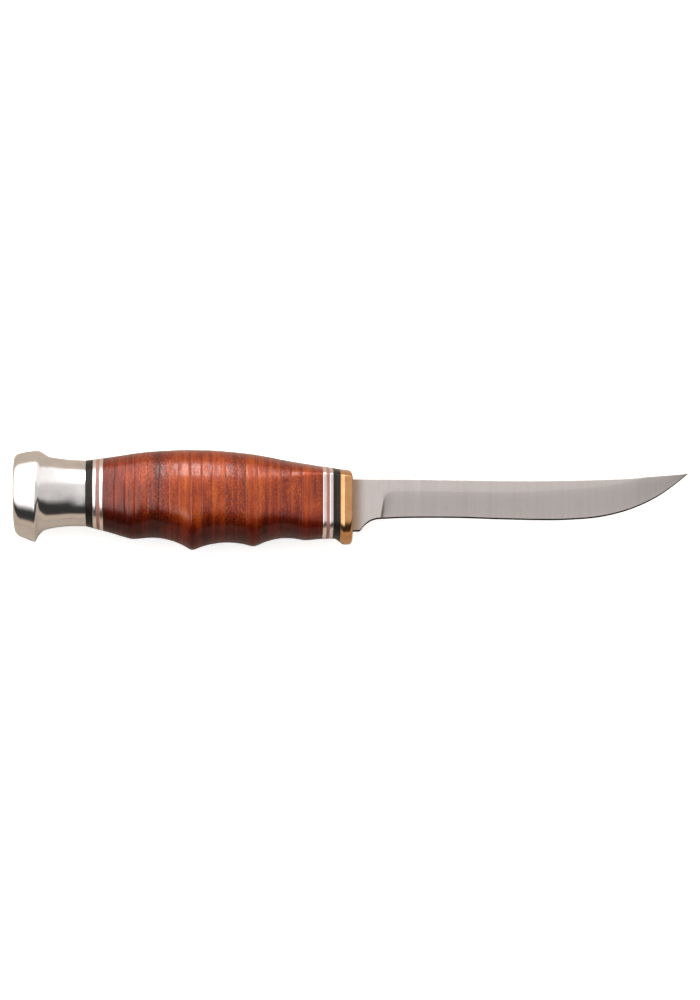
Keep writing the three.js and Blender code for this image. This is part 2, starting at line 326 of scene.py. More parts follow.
def sleeve(name, outer, inner, sharp_degrees=40):
    """A body with a hole right through: outer rings run forwards, inner rings back."""
    rings = outer + inner
    points = [point for ring in rings for point in ring]
    faces = skin_faces(len(rings), len(rings[0]), closed=True)
    return mesh_object(name, points, faces, sharp_degrees)


def bar_body(name, rings, sharp_degrees):
    """A body without a hole, closed by a face at each end."""
    count = len(rings[0])
    points = [point for ring in rings for point in ring]
    faces = skin_faces(len(rings), count, closed=False)
    last = (len(rings) - 1) * count
    faces.append(tuple(reversed(range(count))))
    faces.append(tuple(range(last, last + count)))
    return mesh_object(name, points, faces, sharp_degrees)


def attribute(piece, name, values):
    """Gives each vertex of a piece a number that its material reads."""
    layer = piece.data.attributes.new(name=name, type="FLOAT", domain="POINT")
    layer.data.foreach_set("value", values)


def finish_piece(piece, node, material):
    piece.data.materials.append(material)
    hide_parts(node)
    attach(piece, "root")


# ---------------------------------------------------------------- node helpers

class Nodes:
    """A node tree under construction, with short ways to add its nodes."""

    def __init__(self, node_tree):
        self.nodes = node_tree.nodes
        self.links = node_tree.links

    def add(self, kind, inputs=None, **settings):
        made = self.nodes.new(kind)
        for key, value in settings.items():
            setattr(made, key, value)
        for key, value in (inputs or {}).items():
            self.feed(made.inputs[key], value)
        return made

    def feed(self, socket, value):
        if isinstance(value, bpy.types.NodeSocket):
            self.links.new(value, socket)
        else:
            socket.default_value = value

    def math(self, operation, a, b=0.0, c=0.0):
        made = self.add("ShaderNodeMath", {0: a, 1: b, 2: c}, operation=operation)
        return made.outputs[0]

    def span(self, value, low, high, to_low=0.0, to_high=1.0, shape="LINEAR"):
        """Stretches low..high of a value to to_low..to_high, and holds it there."""
        made = self.add("ShaderNodeMapRange", {
            "Value": value, "From Min": low, "From Max": high,
            "To Min": to_low, "To Max": to_high,
        }, interpolation_type=shape)
        return made.outputs["Result"]

    def ramp(self, value, stops):
        made = self.add("ShaderNodeValToRGB", {"Fac": value})
        elements = made.color_ramp.elements
        while len(elements) < len(stops):
            elements.new(0.5)
        for element, (position, colour) in zip(elements, stops):
            element.position = position
            element.color = (*colour, 1.0)
        return made.outputs["Color"]

    def mix(self, factor, a, b, blend="MIX"):
        made = self.add("ShaderNodeMix", data_type="RGBA", blend_type=blend)
        for index, value in ((0, factor), (6, a), (7, b)):
            if isinstance(value, tuple):
                value = (*value, 1.0)
            self.feed(made.inputs[index], value)
        return made.outputs[2]


class Tree(Nodes):
    """A material under construction."""

    def __init__(self, name):
        self.material = bpy.data.materials.new(name)
        self.material.use_nodes = True
        super().__init__(self.material.node_tree)
        self.shader = self.nodes["Principled BSDF"]
        self.object = self.add("ShaderNodeTexCoord").outputs["Object"]

    def set(self, **values):
        """Sockets of the shader, with _ for a space in their names."""
        for key, value in values.items():
            self.feed(self.shader.inputs[key.replace("_", " ")], value)

    def scaled(self, x, y, z):
        """The point on the object times these, per millimetre."""
        per_metre = (x / MM, y / MM, z / MM)
        return self.add("ShaderNodeMapping", {"Vector": self.object, "Scale": per_metre}).outputs[0]

    def noise(self, vector, detail=2.0, roughness=0.5):
        made = self.add("ShaderNodeTexNoise", {
            "Vector": vector, "Scale": 1.0, "Detail": detail, "Roughness": roughness,
        })
        return made.outputs["Fac"]

    def read(self, name):
        """The number that attribute() gave each vertex."""
        return self.add("ShaderNodeAttribute", attribute_name=name).outputs["Fac"]

    def bump(self, height, strength, distance, normal=None):
        inputs = {"Height": height, "Strength": strength, "Distance": distance * MM}
        if normal is not None:
            inputs["Normal"] = normal
        return self.add("ShaderNodeBump", inputs).outputs["Normal"]


# ---------------------------------------------------------------- materials

def leather_material():
    """Edge-on leather washers, ground, dyed and lacquered."""
    tree = Tree("stacked_leather")
    tone = tree.read("tone")
    underside_shade = tree.read("underside_shade")
    # Painted shade: underside_shade darkens the leather towards the underside, and its grain shows
    # less there.
    grain_left = tree.math("MULTIPLY_ADD", underside_shade, -0.7, 1.0)
    grain = tree.math("MULTIPLY", tree.read("grain"), grain_left)
    seam = tree.read("seam")
    layers = tree.noise(tree.scaled(0.8, 0.04, 0.04), detail=4.0, roughness=0.7)
    fibres = tree.noise(tree.scaled(2.4, 1.5, 1.5), detail=3.0, roughness=0.65)
    flecks = tree.noise(tree.scaled(3.0, 2.2, 2.2), detail=1.5)
    clouds = tree.noise(tree.scaled(0.30, 0.10, 0.10), detail=2.0)
    shade = tree.math("MULTIPLY_ADD", tree.math("SUBTRACT", layers, 0.5), 0.85, tone)
    shade = tree.math("MULTIPLY_ADD", tree.math("SUBTRACT", clouds, 0.5), 0.50, shade)
    fibre_depth = tree.math("MULTIPLY", tree.math("SUBTRACT", fibres, 0.5), grain)
    shade = tree.math("MULTIPLY_ADD", fibre_depth, 1.1, shade)
    # Painted shade, darker towards the underside.
    shade = tree.math("MULTIPLY_ADD", underside_shade, -0.30, shade)
    colour = tree.ramp(shade, [
        (0.10, (0.050, 0.003, 0.001)),
        (0.35, (0.140, 0.009, 0.001)),
        (0.55, (0.290, 0.031, 0.002)),
        (0.75, (0.450, 0.072, 0.005)),
        (0.95, (0.590, 0.150, 0.020)),
    ])
    light_flecks = tree.math("MULTIPLY", tree.span(flecks, 0.58, 0.70), grain)
    colour = tree.mix(tree.math("MULTIPLY", light_flecks, 0.55), colour, (0.50, 0.130, 0.022))
    dark_flecks = tree.math("MULTIPLY", tree.span(flecks, 0.42, 0.32), grain)
    colour = tree.mix(tree.math("MULTIPLY", dark_flecks, 0.6), colour, (0.10, 0.016, 0.006))
    colour = tree.mix(tree.math("MULTIPLY", seam, 0.8), colour, (0.035, 0.006, 0.003))
    tree.set(Base_Color=colour, Metallic=0.5)
    tree.set(Roughness=tree.span(fibres, 0.3, 0.7, 0.38, 0.52))
    body_bump = tree.bump(tree.math("MULTIPLY", fibres, grain), 0.6, 0.06)
    lumps = tree.noise(tree.scaled(0.9, 0.6, 0.6), detail=2.0)
    coat_bump = tree.bump(tree.math("MULTIPLY", flecks, grain), 0.55, 0.035)
    coat_bump = tree.bump(lumps, 0.14, 0.04, coat_bump)
    tree.set(Normal=body_bump, Coat_Normal=coat_bump)
    # The coat is thinner under the painted shade, which also dims the reflections towards the
    # underside.
    lacquer = tree.math("MULTIPLY_ADD", underside_shade, -0.55, 0.95)
    tree.set(Coat_Weight=lacquer, Coat_Roughness=0.15, Coat_IOR=1.5, Specular_IOR_Level=0.1)
    return tree.material


def sheet_material(name, colour, streak, coat):
    """Fibre sheet sanded flush with the leather: faint streaks round the handle."""
    tree = Tree(name)
    streaks = tree.noise(tree.scaled(5.0, 0.12, 0.12), detail=2.0)
    mottle = tree.noise(tree.scaled(0.5, 0.4, 0.4), detail=3.0)
    tint = tree.mix(tree.span(streaks, 0.3, 0.7), colour, streak)
    darker = tuple(channel * 0.72 for channel in colour)
    tint = tree.mix(tree.span(mottle, 0.35, 0.75, 0.0, 0.6), tint, darker)
    tree.set(Base_Color=tint)
    tree.set(Roughness=tree.span(mottle, 0.3, 0.7, 0.28, 0.42))
    tree.set(Normal=tree.bump(streaks, 0.25, 0.03))
    tree.set(Coat_Weight=coat, Coat_Roughness=0.12, Specular_IOR_Level=0.3)
    return tree.material


def polished_material(name, colour, dull, roughness, mark_depth):
    """Metal polished along its section, with fine marks that run round the handle."""
    tree = Tree(name)
    marks = tree.noise(tree.scaled(7.0, 0.18, 0.18), detail=3.0, roughness=0.6)
    hairs = tree.noise(tree.scaled(22.0, 0.5, 0.5), detail=1.0)
    clouds = tree.noise(tree.scaled(0.25, 0.25, 0.25), detail=3.0)
    tint = tree.mix(tree.span(clouds, 0.35, 0.75), colour, dull)
    tint = tree.mix(tree.span(marks, 0.35, 0.8, 0.0, 0.25), tint, dull)
    tree.set(Base_Color=tint, Metallic=1.0)
    low, high = roughness
    tree.set(Roughness=tree.span(marks, 0.3, 0.7, low, high))
    normal = tree.bump(marks, mark_depth, 0.02)
    tree.set(Normal=tree.bump(hairs, mark_depth * 0.6, 0.008, normal))
    return tree.material


def blade_material():
    """Satin steel ground across the blade, so the scratches run from spine to edge."""
    tree = Tree("ground_steel")
    bands = tree.noise(tree.scaled(0.55, 0.015, 0.015), detail=3.0, roughness=0.6)
    scratches = tree.noise(tree.scaled(5.5, 0.09, 0.09), detail=3.0, roughness=0.65)
    hairs = tree.noise(tree.scaled(26.0, 0.35, 0.35), detail=1.0)
    clouds = tree.noise(tree.scaled(0.06, 0.08, 0.08), detail=2.0)
    tint = tree.mix(tree.span(bands, 0.35, 0.7), (0.70, 0.635, 0.61), (0.645, 0.578, 0.555))
    tint = tree.mix(tree.span(scratches, 0.35, 0.75, 0.0, 0.35), tint, (0.54, 0.475, 0.45))
    tint = tree.mix(tree.span(clouds, 0.4, 0.65, 0.0, 0.3), tint, (0.66, 0.585, 0.53))
    bevel = tree.read("bevel")
    # Painted shade and reflection of the brass guard, brown on the steel next to it.
    tint = tree.mix(tree.read("guard_shade_and_reflection"), tint, (0.42, 0.31, 0.235))
    # Painted shade: the edge bevel and the broken corner under the ricasso are darkened into a dark
    # line along the edge; they are also smoother.
    tint = tree.mix(bevel, tint, (0.22, 0.18, 0.16))
    tree.set(Base_Color=tint, Metallic=1.0)
    satin = tree.span(scratches, 0.3, 0.7, 0.26, 0.36)
    tree.set(Roughness=tree.math("MULTIPLY_ADD", bevel, -0.18, satin))
    normal = tree.bump(scratches, 0.22, 0.03)
    tree.set(Normal=tree.bump(hairs, 0.18, 0.012, normal))
    return tree.material


TURNING_PITCH = 0.16             # from one turned ring to the next


def nut_material():
    """Turned steel: rings round the axis of the nut."""
    tree = Tree("turned_steel")
    kind = "ShaderNodeVectorMath"
    centre = place(0, TANG_AXIS, 0)
    from_centre = tree.add(kind, {0: tree.object, 1: centre}, operation="SUBTRACT").outputs[0]
    from_axis = tree.add(kind, {0: from_centre, 1: (0.0, 1.0, 1.0)}, operation="MULTIPLY").outputs[0]
    radius = tree.add(kind, {0: from_axis}, operation="LENGTH").outputs["Value"]
    rings = tree.math("SINE", tree.math("MULTIPLY", radius, 2 * math.pi / (TURNING_PITCH * MM)))
    wear = tree.noise(tree.scaled(1.2, 1.2, 1.2), detail=3.0)
    tint = tree.mix(tree.span(wear, 0.35, 0.7), (0.56, 0.54, 0.53), (0.36, 0.34, 0.33))
    tree.set(Base_Color=tint, Metallic=1.0)
    tree.set(Roughness=tree.span(wear, 0.3, 0.7, 0.24, 0.4))
    tree.set(Normal=tree.bump(rings, 0.3, 0.01))
    return tree.material


LEATHER = leather_material()
ALUMINIUM = polished_material(
    "polished_aluminium", (0.83, 0.79, 0.78), (0.74, 0.69, 0.67), (0.10, 0.18), 0.10)
SANDED_ALUMINIUM = polished_material(
    "sanded_aluminium", (0.95, 0.85, 0.82), (0.86, 0.74, 0.70), (0.22, 0.30), 0.10)
BRASS = polished_material(
    "polished_brass", (0.78, 0.41, 0.19), (0.67, 0.325, 0.14), (0.12, 0.20), 0.12)
BLACK_FIBRE = sheet_material("black_fibre", (0.010, 0.006, 0.004), (0.018, 0.012, 0.009), 0.0)
RED_FIBRE = sheet_material("red_fibre", (0.33, 0.125, 0.100), (0.44, 0.20, 0.16), 0.6)
STEEL = blade_material()
NUT_STEEL = nut_material()


# ---------------------------------------------------------------- blade and tang

spine_line = smooth_through([
    (0, 6.3), (18, 6.22), (36, 5.95), (54, 5.79), (68, 5.97), (82, 6.42), (92, 7.18),
    (BLADE_LENGTH, TIP_HEIGHT),
])
edge_line = smooth_through([
    (RICASSO_LENGTH, -5.75), (16, -5.44), (32, -5.45), (44, -5.83), (57, -6.12), (65, -6.03),
    (75, -5.2), (84, -3.0), (92, 0.55), (98, 4.58), (BLADE_LENGTH, TIP_HEIGHT - 0.1),
])
grind_line = smooth_through([
    (RICASSO_LENGTH, -5.0), (9.2, -1.6), (9.9, 0.95), (11.2, 2.2), (13.6, 2.7),
    (38, 2.42), (52, 2.42), (64, 3.05), (75, 4.0), (82, 5.1), (87.5, 6.35),
])
GRIND_MEETS_SPINE = 87.5
GUARD_SHADE_START = 1.2                 # painted shade and reflection of the brass guard, brown on the steel by it
GUARD_SHADE_END = 4.2
SPINE_ROUNDING = 0.22
UNDERSIDE_BREAK = 0.5            # height of the broken corner under the ricasso
# That corner, as height over the underside and distance in from the side.
UNDERSIDE_CORNER = [(UNDERSIDE_BREAK, 0), (0.05, 0.22), (0, 0.3)]
LEAST_DEPTH = 0.05               # of the blade from spine to edge, at the tip
LEAST_FLAT = 0.3                 # from the spine down to the grind line, before they meet
LEAST_THINNING = 0.12
CRISP = 0.05                     # half the width of a ground corner
SIDE_POINTS = 16                 # from the middle of the spine to the middle of the edge
BEVEL_POINTS = 3                 # of those, the ones on the edge bevel, before the last
RICASSO_STEPS = 44
# Stretches of the ground blade as start, end and steps, finest at the plunge and the tip.
GROUND_STRETCHES = [
    (RICASSO_LENGTH + 0.04, 11.2, 32), (11.5, 14.5, 10), (15.5, 86.5, 71),
    (GRIND_MEETS_SPINE, BLADE_LENGTH, 40),
]


def ricasso_underside(x):
    choil_top = edge_line(RICASSO_LENGTH)
    across = min(RICASSO_LENGTH - x, CHOIL_RADIUS)
    sweep = choil_top - CHOIL_RADIUS + math.sqrt(CHOIL_RADIUS ** 2 - across ** 2)
    return soft_max(RICASSO_BOTTOM, sweep, HEEL_RADIUS)


def rounded_corner(spine, half, radius):
    """Three points that take the corner from the spine round to the side."""
    cut = radius * (1 - math.sqrt(0.5))
    return [(spine, half - radius), (spine - cut, half - cut), (spine - radius, half)]


def ricasso_side(x):
    """The unground part behind the edge: parallel sides and a broken corner."""
    spine = spine_line(x)
    under = ricasso_underside(x)
    half = BLADE_THICKNESS / 2
    grind = grind_line(RICASSO_LENGTH)
    top = rounded_corner(spine, half, SPINE_ROUNDING)
    bottom = [(under + up, half - inwards) for up, inwards in UNDERSIDE_CORNER]
    flat = [(spine - SPINE_ROUNDING - CRISP, half), (spine + (grind - spine) * 0.5, half)]
    flat.append((grind + CRISP, half))
    lower = [(y, half) for y in between(grind - CRISP, under + UNDERSIDE_BREAK + CRISP, 4)]
    return [(spine, 0)] + top + flat + lower + bottom + [(under, 0)]


def ground_side(x):
    """Spine, flat, grind line, grind, secondary bevel and edge."""
    spine = spine_line(x)
    edge = min(edge_line(x), spine - LEAST_DEPTH)
    depth = spine - edge
    bevel_top = edge + min(EDGE_BEVEL_HEIGHT, depth * 0.3)
    full_depth = spine_line(GRIND_MEETS_SPINE) - edge_line(GRIND_MEETS_SPINE)
    thinning = 1
    grind = min(grind_line(x), spine - LEAST_FLAT)
    if x > GRIND_MEETS_SPINE:
        thinning = max(depth / full_depth, LEAST_THINNING)
        grind = spine - depth * 0.04
    half = BLADE_THICKNESS / 2 * thinning
    half_bevel = EDGE_BEVEL_THICKNESS / 2 * thinning
    grind = max(grind, bevel_top + 0.05)
    radius = min(SPINE_ROUNDING * thinning, (spine - grind) * 0.4)
    crisp = min(CRISP, (spine - grind) * 0.2, (grind - bevel_top) * 0.2)
    top = rounded_corner(spine, half, radius)
    flat = [(spine - radius - crisp, half), ((spine - radius + grind) / 2, half)]
    flat.append((grind + crisp, half))
    ground = []
    margin = crisp / (grind - bevel_top)
    for t in between(margin, 1 - margin, 4):
        ground.append((grind + (bevel_top - grind) * t, half + (half_bevel - half) * t))
    half_edge = min(EDGE_THICKNESS / 2, half_bevel * 0.5)
    bevel = [
        (bevel_top - crisp * 0.5, half_bevel),
        (edge + crisp, half_edge * 1.3),
        (edge, half_edge),
    ]
    return [(spine, 0)] + top + flat + ground + bevel + [(edge, 0)]


def tang_side(reach_at):
    """One side of the tang, its outline as far from the axis as reach_at(cos, sin) says."""
    side = []
    for i in range(SIDE_POINTS):
        angle = math.pi * i / (SIDE_POINTS - 1)
        cos, sin = math.cos(angle), math.sin(angle)
        away = reach_at(cos, sin)
        side.append((TANG_AXIS + away * cos, max(away * sin, 0)))
    return side


def bar_side():
    """The flat tang. Its few points are at even angles, so its corners are cut off."""
    return tang_side(lambda cos, sin: to_rectangle(TANG_WIDTH, BLADE_THICKNESS, cos, sin))


def round_side(radius):
    return tang_side(lambda cos, sin: radius)


def blade_rings():
    """From the threaded end to the tip. The thread is a row of rings without a helix."""
    thread_radius = THREAD_DIAMETER / 2
    crest = round_side(thread_radius)
    root = round_side(thread_radius - THREAD_DEPTH)
    rings = [two_sided(THREAD_END, round_side(thread_radius - THREAD_END_BREAK))]
    turns = int((TANG_END - THREAD_END) / THREAD_PITCH)
    for turn in range(turns):
        x = THREAD_END + (turn + 0.5) * THREAD_PITCH
        rings.append(two_sided(x, crest))
        rings.append(two_sided(x + THREAD_PITCH / 2, root))
    rings.append(two_sided(TANG_END, root))
    tang = bar_side()
    for x in (TANG_END, -45, 0):
        rings.append(two_sided(x, tang))
    for x in between(0, RICASSO_LENGTH, RICASSO_STEPS):
        rings.append(two_sided(x, ricasso_side(x)))
    for start, end, steps in GROUND_STRETCHES:
        for x in between(start, end, steps):
            rings.append(two_sided(x, ground_side(x)))
    return rings


def make_blade():
    rings = blade_rings()
    piece = bar_body("blade_fine", rings, sharp_degrees=28)
    bevel = []
    guard_shade_and_reflection = []
    last = SIDE_POINTS - 1
    for ring in rings:
        for i, (x, _, _) in enumerate(ring):
            along = i if i <= last else 2 * last - i
            # bevel marks the edge bevel and the broken corner under the ricasso, which the material
            # darkens as painted shade.
            on_bevel = last - BEVEL_POINTS <= along < last
            bevel.append(1.0 if x > 0 and on_bevel else 0.0)
            # painted shade and reflection of the guard, fading out along the blade
            guard_shade_and_reflection.append(1 - smoothstep(x, GUARD_SHADE_START, GUARD_SHADE_END))
    attribute(piece, "bevel", bevel)
    attribute(piece, "guard_shade_and_reflection", guard_shade_and_reflection)
    finish_piece(piece, "blade", STEEL)


# ---------------------------------------------------------------- guard

def guard_ring(x):
    back = reach("guard")[0]
    into = max(x + GUARD_ROUNDING, 0)
    shrink = GUARD_ROUNDING - math.sqrt(GUARD_ROUNDING ** 2 - into ** 2)
    return section_ring(
        x,
        top=back_line(back) + GUARD_TOP_SLOPE * (x - back) - shrink,
        belly=belly_line(back) + shrink,
        bottom=underside_line(back) - FLARE_DEPTH * flare(x) + shrink,
        half=half_thickness(back) + FLARE_SWELL * flare(x) - shrink,
        upper=top_cap(back),
        lower=low_cap(back),
        power=low_cap_power(back),
    )


def make_guard():
    back, front = reach("guard")
    outer = [
        handle_ring(back, SKIN + GUARD_CORNER),
        handle_ring(back + GUARD_CORNER_PART, SKIN + GUARD_CORNER * 0.4),
    ]
    for x in between(back + GUARD_CORNER, front - GUARD_ROUNDING, GUARD_STEPS):
        outer.append(guard_ring(x))
    for i in range(1, ROUNDING_STEPS + 1):
        turn = math.pi / 2 * i / ROUNDING_STEPS
        outer.append(guard_ring(front - GUARD_ROUNDING * (1 - math.sin(turn))))
    inner = [slot_ring(front), slot_ring(back)]
    piece = sleeve("guard_fine", outer, inner)
    finish_piece(piece, "guard", BRASS)


# ---------------------------------------------------------------- spacers and washers

SPACER_SPACING = 0.35            # between sections of a spacer, and of a washer
WASHER_SPACING = 0.45
SPACER_CORNER = 0.07
NEAR_FACE = 0.35                 # of a corner: how far in from the face its own section is


def slice_stations(back, front, spacing, corner):
    """Where a slice has its sections: evenly spaced, with two more in each corner."""
    steps = max(int(math.ceil((front - back - 2 * corner) / spacing)), 1)
    middle = between(back + corner, front - corner, steps)
    return [back, back + corner * NEAR_FACE] + middle + [front - corner * NEAR_FACE, front]


def make_spacer(node, material):
    back, front = reach(node)
    outer = []
    for x in slice_stations(back, front, SPACER_SPACING, SPACER_CORNER):
        from_face = min(x - back, front - x)
        rounding = SPACER_CORNER * 0.7 * (1 - min(from_face / SPACER_CORNER, 1)) ** 2
        outer.append(handle_ring(x, SKIN + rounding))
    inner = [slot_ring(front), slot_ring(back)]
    piece = sleeve(f"{node}_fine", outer, inner)
    finish_piece(piece, node, material)


# Of each washer, counted from the guard: lightness, how much its grain shows, and how dark
# the seam behind it is.
WASHER_LOOKS = [
    (0.53, 0.6, 0.5), (0.61, 0.25, 0.5), (0.51, 0.8, 0.7), (0.50, 0.7, 0.9), (0.58, 0.6, 0.3),
    (0.54, 0.6, 0.5), (0.64, 0.5, 1.0), (0.47, 0.9, 0.3), (0.52, 1.0, 0.4), (0.66, 0.6, 0.2),
    (0.55, 0.6, 0.7), (0.58, 0.5, 0.9), (0.65, 0.4, 0.3), (0.59, 0.7, 0.3), (0.49, 1.0, 0.8),
    (0.41, 1.0, 0.4), (0.49, 0.8, 1.0), (0.50, 0.4, 0.9), (0.42, 0.3, 0.8), (0.38, 0.35, 0.4),
]
FIRST_SEAM = 0.6                 # darkness of the seam in front of the first washer
SEAM_WIDTH = 0.22
SEAM_DEPTH = 0.06
SUNK_MOST = 0.03                 # a washer lies at most this far below its neighbours
UNDERSIDE_SHADE_FULL = 4.0              # painted shade is darkest up to this height over the underside
UNDERSIDE_SHADE_END = 10.5
LUMP_SIZE = 3.2
LUMP_SQUEEZE = 1.6               # lumps are this much shorter along the knife
LUMP_DEPTH = 0.035
HANDLE_RADIUS = 10               # roughly, which turns the depth of a lump into a share


def leather_ring(x, inset):
    """A section with the slight unevenness of leather that was ground by hand."""
    ring = handle_ring(x, inset + LUMP_DEPTH)
    uneven = []
    for px, py, pz in ring:
        lump = noise.noise(Vector((px * LUMP_SQUEEZE, py, pz)) / LUMP_SIZE)
        away = 1 + lump * LUMP_DEPTH / HANDLE_RADIUS
        uneven.append((px, TANG_AXIS + (py - TANG_AXIS) * away, pz * away))
    return uneven


def make_washer(number, draw):
    node = f"leather_washer_{number:02d}"
    back, front = reach(node)
    tone, grain, back_seam = WASHER_LOOKS[number - 1]
    front_seam = WASHER_LOOKS[number - 2][2] if number > 1 else FIRST_SEAM
    sunk = draw.uniform(0.0, SUNK_MOST)
    outer = []
    darkness = []
    underside_shade = []
    for x in slice_stations(back, front, WASHER_SPACING, SEAM_WIDTH):
        from_face = min(x - back, front - x)
        seam = (1 - min(from_face / SEAM_WIDTH, 1)) ** 2
        strength = back_seam if x - back < front - x else front_seam
        ring = leather_ring(x, SKIN + sunk + SEAM_DEPTH * seam * strength)
        outer.append(ring)
        darkness += [seam * strength] * RING
        # How much painted shade each point of the ring gets, fading out upwards from the underside.
        underside = underside_line(x)
        for _, y, _ in ring:
            underside_shade.append(1 - smoothstep(y - underside, UNDERSIDE_SHADE_FULL, UNDERSIDE_SHADE_END))
    inner = [slot_ring(front), slot_ring(back)]
    darkness += [1.0] * (2 * RING)
    underside_shade += [0.0] * (2 * RING)
    piece = sleeve(f"{node}_fine", outer, inner)
    attribute(piece, "seam", darkness)
    attribute(piece, "underside_shade", underside_shade)
    attribute(piece, "tone", [tone] * len(darkness))
    attribute(piece, "grain", [grain] * len(darkness))
    finish_piece(piece, node, LEATHER)


# ---------------------------------------------------------------- pommel and nut

# Each row is one section of the pommel: x and height of its highest point, the same of its
# lowest, half its thickness, and the power of its lower cap. The rim leans a little.
POMMEL_ROWS = [
    (-100.9, 12.4, -100.9, -8.1, 8.3, 1.6), (-100.75, 12.9, -100.75, -8.95, 8.75, 1.55),
    (-100.4, 13.4, -100.4, -9.75, 9.1, 1.5), (-99.5, 13.9, -99.5, -10.75, 9.45, 1.42),
    (-98, 14.3, -98, -11.45, 9.85, 1.38), (-96.2, 14.6, -96.6, -12.02, 10.24, 1.35),
    (-94.4, 14.76, -95.4, -12.42, 10.54, 1.35), (-93.5, 14.7, -94.85, -12.54, 10.6, 1.35),
    (-93.05, 14.57, -94.5, -12.38, 10.48, 1.36), (-92.7, 14.38, -94.25, -11.9, 10.28, 1.38),
    (-92.2, 14.05, -93.8, -11, 9.93, 1.45), (-91.6, 13.62, -93.1, -10.1, 9.6, 1.55),
    (-90.9, 13.22, -92.2, -9.27, 9.3, 1.7), (-90, 12.87, -91, -8.78, 9.02, 1.85),
    (-87.5, 12.5, -88, -8.2, 8.72, ELLIPSE), (-84, 12.08, -84, -7.83, 8.55, ELLIPSE),
    (-79.5, 11.87, -79.5, -7.9, 8.6, ELLIPSE),
]
ROW_STEPS = 8
POMMEL_FLAT = 0.4
WELL_CORNER = 0.25               # where the nut's well opens in the butt


def pommel_rings(back, front):
    """Rings on smooth curves through the rows, so the rim and the neck have no facets."""
    columns = []
    for column in range(len(POMMEL_ROWS[0])):
        points = [(i, row[column]) for i, row in enumerate(POMMEL_ROWS)]
        columns.append(smooth_through(points))
    rings = []
    last = len(POMMEL_ROWS) - 1
    for t in between(0, last, last * ROW_STEPS):
        top_x, top, bottom_x, bottom, half, power = [column(t) for column in columns]
        cap = (top - bottom - POMMEL_FLAT) / 2
        flat = section_ring(0, top, bottom, bottom, half, cap, cap, power, inset=POMMEL_SKIN)
        ring = []
        for _, y, z in flat:
            x = bottom_x + (top_x - bottom_x) * (y - bottom) / (top - bottom)
            ring.append((min(max(x, back), front), y, z))
        rings.append(ring)
    return rings


def make_pommel():
    back, front = reach("pommel")
    outer = pommel_rings(back, front)
    recess = NUT_RECESS + NUT_THICKNESS
    well = NUT_DIAMETER / 2 + CLEARANCE
    bore = THREAD_DIAMETER / 2 + CLEARANCE
    slot_end = TANG_END - 2 * CLEARANCE
    inner = [
        slot_ring(front), slot_ring(slot_end), round_ring(slot_end, bore),
        round_ring(back + recess, bore), round_ring(back + recess, well),
        round_ring(back + WELL_CORNER, well), round_ring(back, well + WELL_CORNER),
    ]
    piece = sleeve("pommel_fine", outer, inner, sharp_degrees=35)
    finish_piece(piece, "pommel", ALUMINIUM)


def slot_cutter(face):
    """A bar across the nut, sunk as deep as the slot where the nut's outer face is."""
    half_length = NUT_DIAMETER / 2 + 1
    half_width = NUT_SLOT_WIDTH / 2
    corners = []
    for x in (face - NUT_SLOT_DEPTH, face + NUT_SLOT_DEPTH):
        for y in (TANG_AXIS - half_length, TANG_AXIS + half_length):
            for z in (-half_width, half_width):
                corners.append((x, y, z))
    faces = [(0, 1, 3, 2), (4, 6, 7, 5), (0, 4, 5, 1), (2, 3, 7, 6), (0, 2, 6, 4), (1, 5, 7, 3)]
    return mesh_object("slot_cutter", corners, faces, NUT_SHARP)


def cut_away(piece, cutter):
    """Cuts one mesh out of another for good, and removes the cutter."""
    cut = piece.modifiers.new("slot", "BOOLEAN")
    cut.operation = "DIFFERENCE"
    cut.solver = "EXACT"
    cut.object = cutter
    evaluated = piece.evaluated_get(bpy.context.evaluated_depsgraph_get())
    cut_mesh = bpy.data.meshes.new_from_object(evaluated)
    piece.modifiers.clear()
    piece.data = cut_mesh
    bpy.data.objects.remove(cutter)


def make_nut():
    """A round nut with broken corners, and a slot cut across its outer face."""
    back, front = reach("tang_nut")
    radius = NUT_DIAMETER / 2
    bore = THREAD_DIAMETER / 2 + CLEARANCE
    outer = [
        (back, radius - NUT_CORNER), (back + NUT_CORNER, radius),
        (front - NUT_CORNER, radius), (front, radius - NUT_CORNER),
    ]
    inner = [
        (front, bore + NUT_CORNER), (front - NUT_CORNER, bore),
        (back + NUT_CORNER, bore), (back, bore + NUT_CORNER),
    ]
    outer_rings = [round_ring(x, away, NUT_POINTS) for x, away in outer]
    inner_rings = [round_ring(x, away, NUT_POINTS) for x, away in inner]
    piece = sleeve("tang_nut_fine", outer_rings, inner_rings, NUT_SHARP)
    cut_away(piece, slot_cutter(back))
    piece.data.set_sharp_from_angle(angle=math.radians(NUT_SHARP))
    finish_piece(piece, "tang_nut", NUT_STEEL)


# ---------------------------------------------------------------- assembly

make_blade()
make_guard()
for end, order in (("front", ("outer", "inner")), ("rear", ("inner", "outer"))):
    make_spacer(f"black_spacer_{end}", BLACK_FIBRE)
    make_spacer(f"red_spacer_{end}", RED_FIBRE)
    for which in order:
        make_spacer(f"aluminium_spacer_{end}_{which}", SANDED_ALUMINIUM)
washer_draw = random.Random(20)
for washer_number in range(1, len(WASHER_LOOKS) + 1):
    make_washer(washer_number, washer_draw)
make_pommel()
make_nut()


# ---------------------------------------------------------------- floor, light and camera

FLOOR_HALF_SIZE = 8.0            # in metres, as are the lamp's size and place
FLOOR_CLOUDS = 0.004
FLOOR_GLOW = 0.6
PALE = ((0.90, 0.885, 0.865), (0.92, 0.905, 0.885))
MIRRORED_FLOOR_DROP = 0.0002
MIRRORED = ((0.80, 0.69, 0.57), (0.84, 0.73, 0.61))


